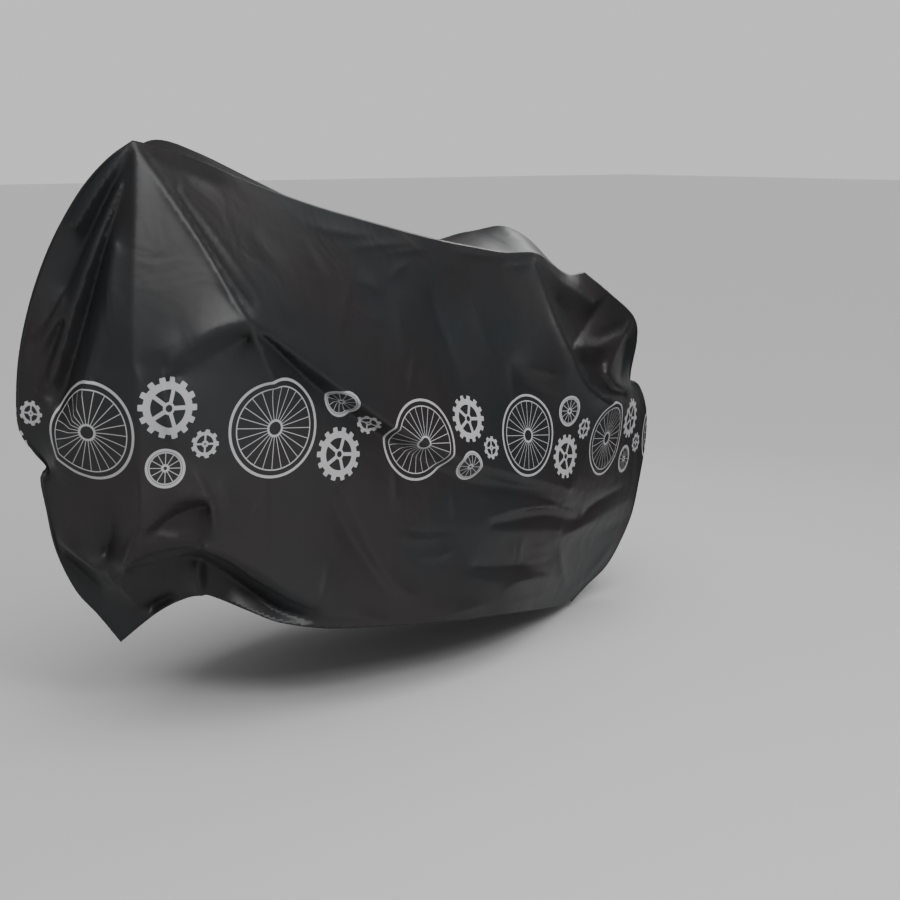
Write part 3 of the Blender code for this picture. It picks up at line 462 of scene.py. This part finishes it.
def stretched(net, held, values, count):
    """Values over a film that is held at some corners and pulled tight in between."""
    film = np.full(count, values.mean())
    film[held] = values
    return settled(net, film, held, 0)


def softened(net, places, faces, film, fixed, reach):
    """The film with its creases eased over a reach in metres, and with its fixed corners kept."""
    one, two, three = places[faces].transpose(1, 0, 2)
    third = np.abs(crossed(two - one, three - one)) / 6  # of each triangle's area
    share = sum(np.bincount(faces[:, turn], third, len(places)) for turn in range(3))
    return settled(net, film, fixed, share * 2 / reach**2)


def creased(places, table):
    """How far creases raise or lower each place: sharp along their line, with a slope to each side."""
    on_line = 1e-6  # metres from its line that count as on it
    raised, sunk = np.zeros((2, len(places)))
    for row in table:
        line, (left_width, right_width) = fold_line(row, CREASE_STEP), row[10:]
        reach = CREASE_FADE * max(left_width, right_width)
        low, high = line[:, :2].min(0) - reach, line[:, :2].max(0) + reach
        near = np.flatnonzero(((places > low) & (places < high)).all(1))
        away = places[near, None] - line[None, :, :2]
        gap = np.linalg.norm(away, axis=2)
        nearest = gap.argmin(1)
        away, gap = away[np.arange(len(near)), nearest], gap.min(1)
        way = np.gradient(line[:, :2], axis=0)[nearest]
        side = crossed(way, away) / np.maximum(gap, on_line)
        left = 0.5 + 0.5 * side / np.linalg.norm(way, axis=1)
        width = left * left_width + (1 - left) * right_width
        rise = line[nearest, 2] * np.exp(CREASE_TIP / width - np.hypot(gap, CREASE_TIP) / width)
        raised[near], sunk[near] = np.maximum(raised[near], rise), np.minimum(sunk[near], rise)
    return raised + sunk


def ring_rows(hem, step):
    """The panel's outline, front seam first, and the rows in which its hem starts and ends."""
    front, low = through(FRONT_SEAM, step)[:-1], through(hem, step)[:-1]
    rear, top = through(REAR_SEAM, step)[:0:-1], through(TOP_SEAM, step)[:0:-1]
    return np.vstack([front, low, rear, top]), len(front), len(front) + len(low)


def seam_corners(rim, rows, hem_start, hem_end):
    """The corners along the seam: up the rear, forwards over the top and down the front."""
    corner = dict(zip(rim[:, 1], rim[:, 0]))
    return [corner[row % rows] for row in range(hem_end, rows + hem_start + 1)]


def sheet_object(name, corners, faces, seam):
    """A panel's object, with its place in its mesh, smooth but for the line of its seam."""
    mesh = bpy.data.meshes.new(name)
    mesh.from_pydata((corners - HUMP_TOP).tolist(), [], faces.tolist())
    mesh.shade_smooth()
    lines = {tuple(sorted(ends)) for ends in zip(seam, seam[1:])}
    for side in mesh.edges:
        side.use_edge_sharp = side.key in lines
    panel = bpy.data.objects.new(name, mesh)
    bpy.context.scene.collection.objects.link(panel)
    return panel


def welded_edge(corners, faces, seam, side):
    """Adds the narrow doubled edge along the seam, which stands out and is folded back on top."""
    way = np.gradient(corners[seam], axis=0)
    lean = np.column_stack([way[:, 2], WELD_BACK * np.maximum(-way[:, 0], 0), -way[:, 0]])
    lean /= np.linalg.norm(lean, axis=1)[:, None]
    tip = corners[seam] + WELD_WIDTH * lean + (0, side * WELD_APART, 0)
    first = len(corners)
    strip = []
    for k in range(len(seam) - 1):
        a, b, c, d = seam[k], seam[k + 1], first + k + 1, first + k
        strip += [(b, a, d), (b, d, c)]
    return np.vstack([corners, tip]), np.vstack([faces, strip])


def lay_flat(panel, print_line):
    """Maps the film in metres as it lies flat, from and along the line of its print."""
    mesh = panel.data
    mesh.uv_layers.new(name="flat")
    bpy.ops.object.select_all(action="DESELECT")
    panel.select_set(True)
    bpy.context.view_layer.objects.active = panel
    bpy.ops.object.mode_set(mode="EDIT")
    bpy.ops.mesh.select_all(action="SELECT")
    bpy.ops.uv.unwrap(method="ANGLE_BASED", margin=0, correct_aspect=False)
    bpy.ops.object.mode_set(mode="OBJECT")
    corner, flat = np.empty(len(mesh.loops), int), np.empty(2 * len(mesh.loops))
    place = np.empty(3 * len(mesh.vertices))
    mesh.loops.foreach_get("vertex_index", corner)
    mesh.uv_layers["flat"].uv.foreach_get("vector", flat)
    mesh.vertices.foreach_get("co", place)
    flat, place = flat.reshape(-1, 2), place.reshape(-1, 3)[corner]
    hung, laid = place.reshape(-1, 3, 3), flat.reshape(-1, 3, 2)
    hung_area = np.linalg.norm(np.cross(hung[:, 1] - hung[:, 0], hung[:, 2] - hung[:, 0]), axis=1).sum()
    laid_area = np.abs(crossed(laid[:, 1] - laid[:, 0], laid[:, 2] - laid[:, 0])).sum()
    flat = flat * math.sqrt(hung_area / laid_area)
    ends = [np.linalg.norm(place + HUMP_TOP - end, axis=1).argmin() for end in print_line]
    along = (flat[ends[1]] - flat[ends[0]]) / np.linalg.norm(flat[ends[1]] - flat[ends[0]])
    flat = (flat - flat[ends[0]]) @ np.array([along, (-along[1], along[0])]).T
    if np.corrcoef(flat[:, 1], place[:, 2])[0, 1] < 0:
        flat[:, 1] *= -1
    mesh.uv_layers["flat"].uv.foreach_set("vector", flat.ravel())


def thicken(panel):
    """Gives the film its thickness, to its outside."""
    solid = panel.modifiers.new("Film", "SOLIDIFY")
    solid.thickness, solid.offset = FILM_THICK, 1
    bpy.ops.object.modifier_apply(modifier="Film")


ring, hem_start, hem_end = ring_rows(LEFT_HEM, NEAR_STEP)
out = ring[:, 1] / NEAR_OUT[1]
ring = np.column_stack([ring[:, 0] - out * NEAR_OUT[0], ring[:, 2], out])
tight_lines = [fold_line(row, NEAR_FOLD_STEP) for row in LEFT_FRAME]
folds = [fold_line(row, NEAR_FOLD_STEP) for row in LEFT_FOLDS]
creases = [fold_line(row, NEAR_STEP)[:, :2] for row in NEAR_CREASES]
places, faces, held, values = facets(ring, tight_lines + folds, NEAR_STEP, creases)
tight = held[:, 1] < len(ring) + sum(map(len, tight_lines))
net = pulls(places, faces)
film = stretched(net, held[tight, 0], values[tight], len(places))
values = values + np.where(tight, 0, film[held[:, 0]])
film = stretched(net, held[:, 0], values, len(places))
rim = held[held[:, 1] < len(ring)]
film = softened(net, places, faces, film, rim[:, 0], NEAR_SOFT)
film += softened(net, places, faces, creased(places, NEAR_CREASES), rim[:, 0], CREASE_SOFT)
corners = np.column_stack([places[:, 0] + film * NEAR_OUT[0], film * NEAR_OUT[1], places[:, 1]])
seam = seam_corners(rim, len(ring), hem_start, hem_end)
near_panel = sheet_object("near_panel", *welded_edge(corners, faces, seam, -1), seam)
lay_flat(near_panel, NEAR_PRINT)
thicken(near_panel)
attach(near_panel, "root")
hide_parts("left_panel")

# The far side panel: one piece of the same film, welded to the near one along the same seam. It
# rises beside the seam in a crest of its own, highest at the front and over the rear hump, and its
# slack falls in long folds to the hem.
FAR_STEP = 0.009  # size of the far panel's triangles
FAR_FOLD_STEP = 0.02  # distance of the corners along its folds, in shares of its length and drop
FAR_OUT = (0.20, 0.98)  # the way its folds stand out: rearwards and outwards
FAR_SOFT = 0.020  # how far its folds are rounded in each pass
FAR_PASSES = 3  # how often they are rounded
FAR_PRINT = ((-0.600, 0.100, 0.615), (0.400, 0.200, 0.482))  # the middle line of its print
RIGHT_HEM = (
    (-0.570, -0.040, 0.160),
    (-0.500, 0.050, 0.200),
    (-0.380, 0.140, 0.215),
    (-0.200, 0.220, 0.190),
    (0.000, 0.255, 0.160),
    (0.200, 0.245, 0.130),
    (0.400, 0.170, 0.090),
    (0.530, 0.060, 0.050),
    (0.625, -0.060, 0.020),
)
RIGHT_SECTIONS = (
    # along, crest out, crest up, belly
    (0.00, 0.00, 0.000, 0.00),
    (0.05, 0.03, 0.035, 0.01),
    (0.10, 0.09, 0.078, 0.03),
    (0.17, 0.18, 0.130, 0.05),
    (0.22, 0.19, 0.128, 0.05),
    (0.28, 0.17, 0.105, 0.05),
    (0.36, 0.13, 0.040, 0.06),
    (0.50, 0.12, 0.030, 0.07),
    (0.66, 0.13, 0.045, 0.07),
    (0.74, 0.15, 0.088, 0.06),
    (0.82, 0.15, 0.110, 0.06),
    (0.88, 0.13, 0.108, 0.05),
    (0.93, 0.09, 0.055, 0.04),
    (1.00, 0.00, 0.000, 0.00),
)
CREST = 0.11  # where the crest lies, as a share of the way from the top seam to the hem
RIGHT_LENGTH, RIGHT_DROP = 1.45, 1.05  # of the flat shape that the far panel's triangles fill
RIGHT_FOLDS = (
    # name, along, down, out, along, down, out, along, down, out
    ("peak_to_toe", 0.13, 0.13, 0.02, 0.11, 0.45, 0.045, 0.06, 0.85, 0.01),
    ("peak_drop", 0.17, 0.13, 0.02, 0.19, 0.50, 0.050, 0.20, 0.97, 0.03),
    ("peak_to_side", 0.20, 0.13, 0.01, 0.30, 0.45, 0.045, 0.40, 0.92, 0.03),
    ("peak_valley", 0.155, 0.20, -0.01, 0.15, 0.55, -0.030, 0.13, 0.95, -0.02),
    ("side_valley", 0.20, 0.22, -0.01, 0.25, 0.55, -0.030, 0.29, 0.97, -0.03),
    ("hump_to_side", 0.74, 0.14, 0.01, 0.66, 0.50, 0.040, 0.58, 0.95, 0.03),
    ("hump_drop", 0.82, 0.14, 0.01, 0.80, 0.50, 0.045, 0.78, 0.90, 0.02),
    ("hump_valley", 0.79, 0.20, -0.01, 0.74, 0.50, -0.030, 0.69, 0.95, -0.02),
    ("hump_to_tail", 0.86, 0.16, 0.01, 0.92, 0.32, 0.035, 0.97, 0.52, 0.01),
    ("tail_valley", 0.88, 0.34, -0.01, 0.92, 0.50, -0.030, 0.96, 0.70, -0.01),
)


def shares(curve):
    """Each point's share of the way along a curve."""
    lengths = np.append(0, np.cumsum(np.linalg.norm(np.diff(curve, axis=0), axis=1)))
    return lengths / lengths[-1]


def at_share(curve, share):
    return np.column_stack([np.interp(share, shares(curve), column) for column in curve.T])


def section_column(column, along):
    """A column of the sections at each place along the panel, with its corners rounded."""
    table = np.array(RIGHT_SECTIONS)
    even = np.linspace(0, 1, 201)
    window = np.hanning(11)[1:-1] / 5  # nine weights that add up to one
    straight = np.interp(even, table[:, 0], table[:, column])
    rounded = np.convolve(np.pad(straight, 4, "edge"), window, "valid")
    return np.interp(along, even, rounded)


front, rear = through(FRONT_SEAM, FAR_STEP), through(REAR_SEAM, FAR_STEP)
top, hem = through(TOP_SEAM, FAR_STEP), through(RIGHT_HEM, FAR_STEP)
size = np.array((RIGHT_LENGTH, RIGHT_DROP))
ring = np.vstack([
    [(0, share) for share in shares(front)[:-1]],
    [(share, 1) for share in shares(hem)[:-1]],
    [(1, share) for share in shares(rear)[:0:-1]],
    [(share, 0) for share in shares(top)[:0:-1]],
])
outline = np.column_stack([ring * size, np.zeros(len(ring))])
folds = [fold_line(row, FAR_FOLD_STEP) * (*size, 1) for row in RIGHT_FOLDS]
places, faces, held, values = facets(outline, folds, FAR_STEP)
net = pulls(places, faces)
out = stretched(net, held[:, 0], values, len(places))
rim = held[held[:, 1] < len(ring)]
for _ in range(FAR_PASSES):
    out = softened(net, places, faces, out, rim[:, 0], FAR_SOFT)
along, down = (places / size).T
a, d = along[:, None], down[:, None]
corners = (1 - d) * at_share(top, along) + d * at_share(hem, along)
corners += (1 - a) * at_share(front, down) + a * at_share(rear, down)
corners -= (1 - a) * ((1 - d) * top[0] + d * hem[0]) + a * ((1 - d) * top[-1] + d * hem[-1])
crest_out, crest_up, belly = (section_column(column, along) for column in (1, 2, 3))
rising, falling = down / CREST, (down - CREST) / (1 - CREST)
quarter = 0.5 * np.pi
crest = np.where(down < CREST, np.sin(quarter * rising), np.cos(quarter * falling) ** 2)
corners[:, 1] += crest_out * crest + belly * np.sin(np.pi * down)
corners[:, 2] += crest_up * crest
corners[:, 0] += out * FAR_OUT[0]
corners[:, 1] += out * FAR_OUT[1]
hem_start, hem_end = len(front) - 1, len(front) + len(hem) - 2
seam = seam_corners(rim, len(ring), hem_start, hem_end)
far_panel = sheet_object("far_panel", *welded_edge(corners, faces, seam, 1), seam)
lay_flat(far_panel, FAR_PRINT)
thicken(far_panel)
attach(far_panel, "root")
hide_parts("right_panel")


# The film: black and satin, a little uneven in its shine and tint, with fine wrinkles. A
# silver-grey band is printed on it: groups of plain spoked wheels and cogwheels, every second
# group upside down.
HUB, INNER, CORE, ARM, TOOTH = 0.16, 0.86, 0.6, 0.07, 0.16  # shares of a wheel's radius
FLANK = (0.21, 0.29)  # where a tooth slopes off, in steps from tooth to tooth
BLUR = 0.0004  # half the width of the soft edge of ink
HUB_LINE, OUTER_LINE, INNER_LINE, SPOKE_LINE = 0.0022, 0.0026, 0.0012, 0.0007  # half widths
INK_COVER = 0.94  # how much of the film's own colour the ink hides


class Signal:
    """An output of a material's node; arithmetic on it adds the nodes that work it out."""

    def __init__(self, tree, socket=None):
        self.tree, self.socket = tree, socket

    def node(self, kind, settings, inputs):
        """A new node's first output, from its settings and its inputs by name or number."""
        made = self.tree.nodes.new(kind)
        for name, value in settings.items():
            setattr(made, name, value)
        for name, value in inputs.items():
            if isinstance(value, Signal):
                self.tree.links.new(value.socket, made.inputs[name])
            else:
                made.inputs[name].default_value = value
        return Signal(self.tree, made.outputs[0])

    def output(self, name):
        return Signal(self.tree, self.socket.node.outputs[name])

    def maths(self, operation, *others):
        return self.node("ShaderNodeMath", {"operation": operation}, dict(enumerate((self, *others))))

    def __add__(self, other):
        return self.maths("ADD", other)

    def __sub__(self, other):
        return self.maths("SUBTRACT", other)

    def __rsub__(self, other):
        return self * -1 + other

    def __mul__(self, other):
        return self.maths("MULTIPLY", other)

    def __truediv__(self, other):
        return self.maths("DIVIDE", other)

    def __or__(self, other):
        return self.maths("MAXIMUM", other)

    def __abs__(self):
        return self.maths("ABSOLUTE")

    __radd__, __rmul__ = __add__, __mul__

    def ramp(self, start, end, low=0.0, high=1.0):
        """A smooth step from low to high as this goes from start to end."""
        inputs = {"Value": self, "From Min": start, "From Max": end, "To Min": low, "To Max": high}
        return self.node("ShaderNodeMapRange", {"interpolation_type": "SMOOTHSTEP"}, inputs)


def stroke(away, half_width):
    """Ink within half a stroke's width, with an edge a little soft."""
    return abs(away).ramp(half_width + BLUR, half_width - BLUR)


def off_ray(turn, rays):
    """How far a turn is from the nearest of some even rays, in steps from ray to ray."""
    return abs((turn * rays + 0.5).maths("FRACT") - 0.5)


def wheel(x, y, radius, spokes, teeth):
    """Ink of a spoked wheel with a double rim, or of a cogwheel with arms, about x = y = 0."""
    reach = (x * x + y * y).maths("SQRT")
    turn = y.maths("ARCTAN2", x) / math.tau
    off_spoke = off_ray(turn, spokes) * reach * (math.tau / spokes)
    hub, inner, core = HUB * radius, INNER * radius, CORE * radius
    if teeth:
        tooth = off_ray(turn, teeth).ramp(*FLANK, TOOTH * radius, 0)
        rim = reach.ramp(core, core + 2 * BLUR) * (reach - tooth).ramp(inner, inner - 2 * BLUR)
        arms = stroke(off_spoke, ARM * radius)
    else:
        rim = stroke(reach - radius, OUTER_LINE) | stroke(reach - inner, INNER_LINE)
        arms = stroke(off_spoke, SPOKE_LINE)
    arms = arms * stroke(reach - (hub + inner) / 2, (inner - hub) / 2)
    return rim | arms | stroke(reach - hub, HUB_LINE)


material = bpy.data.materials.new("black_film")
material.use_nodes = True
shader = material.node_tree.nodes["Principled BSDF"]
start = Signal(material.node_tree)
flat_place = start.node("ShaderNodeUVMap", {"uv_map": "flat"}, {})
hung_place = start.node("ShaderNodeTexCoord", {}, {}).output("Object")
u = start.node("ShaderNodeSeparateXYZ", {}, {0: flat_place})
v = u.output("Y")

CELL = 0.36  # length of one repeat of the print; every second one is upside down
count = (u / CELL + 0.5).maths("FLOOR")  # of the repeat, from the start of the print's line
across = u - count * CELL
up = v * (1 - 2 * count.maths("PINGPONG", 1.0))
MOTIFS = (
    # middle across, middle up, radius, spokes, teeth
    (-0.082, -0.006, 0.092, 24, 0),
    (0.070, 0.046, 0.052, 5, 14),
    (0.068, -0.062, 0.034, 12, 0),
    (0.140, -0.020, 0.026, 4, 9),
)
marks = [wheel(across - x, up - y, *shape) for x, y, *shape in MOTIFS]
ink = marks[0] | marks[1] | marks[2] | marks[3]

broad = start.node("ShaderNodeTexNoise", {}, {"Vector": flat_place, "Scale": 2.5, "Detail": 2.0})
soft = start.node("ShaderNodeTexNoise", {}, {"Vector": hung_place, "Scale": 9.0, "Distortion": 0.8})
fine = start.node("ShaderNodeTexNoise", {}, {"Vector": flat_place, "Scale": 45.0, "Detail": 4.0})
cool, warm, silver = (0.012, 0.014, 0.015, 1), (0.0155, 0.013, 0.014, 1), (0.30, 0.30, 0.31, 1)
mix = {"data_type": "RGBA"}
tint = start.node("ShaderNodeMix", mix, {0: broad.ramp(0.35, 0.65), 6: cool, 7: warm}).output(2)
colour = start.node("ShaderNodeMix", mix, {0: ink * INK_COVER, 6: tint, 7: silver})
roughness = 0.40 + 0.10 * soft + 0.05 * ink
height = (soft - 0.5) * 0.006 + (fine - 0.5) * 0.0006  # of the wrinkles, in metres
bump = start.node("ShaderNodeBump", {}, {"Strength": 0.5, "Distance": 1.0, "Height": height})
links = material.node_tree.links
links.new(colour.output(2).socket, shader.inputs["Base Color"])
links.new(roughness.socket, shader.inputs["Roughness"])
links.new(bump.socket, shader.inputs["Normal"])
shader.inputs["Specular IOR Level"].default_value = 0.3
near_panel.data.materials.append(material)
far_panel.data.materials.append(material)


# The stage: a plain pale floor and a pale horizon under a dim sky, two suns for soft light from
# above, and soft lamps high and low at the near side and behind the hump. Two black cards, seen
# only in the film's shine, darken what it mirrors at its rear and from behind the view.


def matt(name, grey, roughness):
    """A grey material without any shine."""
    made = bpy.data.materials.new(name)
    made.use_nodes = True
    inputs = made.node_tree.nodes["Principled BSDF"].inputs
    inputs["Base Color"].default_value = (grey, grey, grey, 1)
    inputs["Roughness"].default_value = roughness
    inputs["Specular IOR Level"].default_value = 0
    return made


bpy.ops.mesh.primitive_plane_add(size=80, location=(0, 0, -HUMP_TOP[2]))
floor = bpy.context.object
floor.name = "floor"
floor.data.materials.append(matt("paper", 0.35, 1))
soot = matt("soot", 0.002, 0.5)
CARDS = (
    # name, width, height, degrees about the upright, place
    ("rear_card", 2.4, 1.4, 90, (1.15, -1.05, -0.20)),
    ("back_card", 16, 2.4, -38, (-4.0, -5.1, 0.25)),
)
for name, width, height, turn, place in CARDS:
    upright = (math.pi / 2, 0, math.radians(turn))
    bpy.ops.mesh.primitive_plane_add(location=place, rotation=upright, size=1)
    card = bpy.context.object
    card.name, card.scale = name, (width, height, 1)
    card.visible_camera = card.visible_shadow = card.visible_diffuse = False
    card.data.materials.append(soot)
world = bpy.data.worlds.new("studio")
world.use_nodes = True
sky = Signal(world.node_tree)
direction = sky.node("ShaderNodeTexCoord", {}, {})
rise = sky.node("ShaderNodeSeparateXYZ", {}, {0: direction}).output("Z")
HORIZON, DIM_SKY = 0.75, 0.05  # how bright the world is up to a rise of 0.09, and from 0.12 on
glow = rise.ramp(0.09, 0.12, HORIZON, DIM_SKY)
world.node_tree.links.new(glow.socket, world.node_tree.nodes["Background"].inputs["Strength"])
world.node_tree.nodes["Background"].inputs["Color"].default_value = (1, 1, 1, 1)
bpy.context.scene.world = world

LAMPS = (
    # name, size, spread in degrees, watts, place, aim
    ("side_lamp", 1.3, 180, 92, (-0.9, -3.2, 1.9), (-0.4, 0.0, -0.2)),
    ("low_lamp", 1.0, 180, 6, (-0.5, -3.1, 0.2), (-0.4, 0.0, -0.4)),
    ("rear_lamp", 1.0, 120, 10, (1.9, 1.0, 1.3), (0.0, 0.0, -0.1)),
)
for name, size, spread, watts, place, aim in LAMPS:
    lamp = bpy.data.objects.new(name, bpy.data.lights.new(name, "AREA"))
    lamp.data.size, lamp.data.spread, lamp.data.energy = size, math.radians(spread), watts
    lamp.location = place
    lamp.rotation_euler = (Vector(place) - Vector(aim)).to_track_quat("Z", "Y").to_euler()
    bpy.context.scene.collection.objects.link(lamp)
SUNS = (
    # name, strength, spread in degrees, shines in the film
    ("overhead", 3.2, 60, True),
    ("fill", 1.8, 180, False),
)
UP_TO_SUNS = Vector((-0.15, -0.30, 1.0))
for name, strength, spread, shines in SUNS:
    sun = bpy.data.objects.new(name, bpy.data.lights.new(name, "SUN"))
    sun.data.energy, sun.data.angle = strength, math.radians(spread)
    sun.visible_glossy = shines
    sun.rotation_euler = UP_TO_SUNS.to_track_quat("Z", "Y").to_euler()
    bpy.context.scene.collection.objects.link(sun)
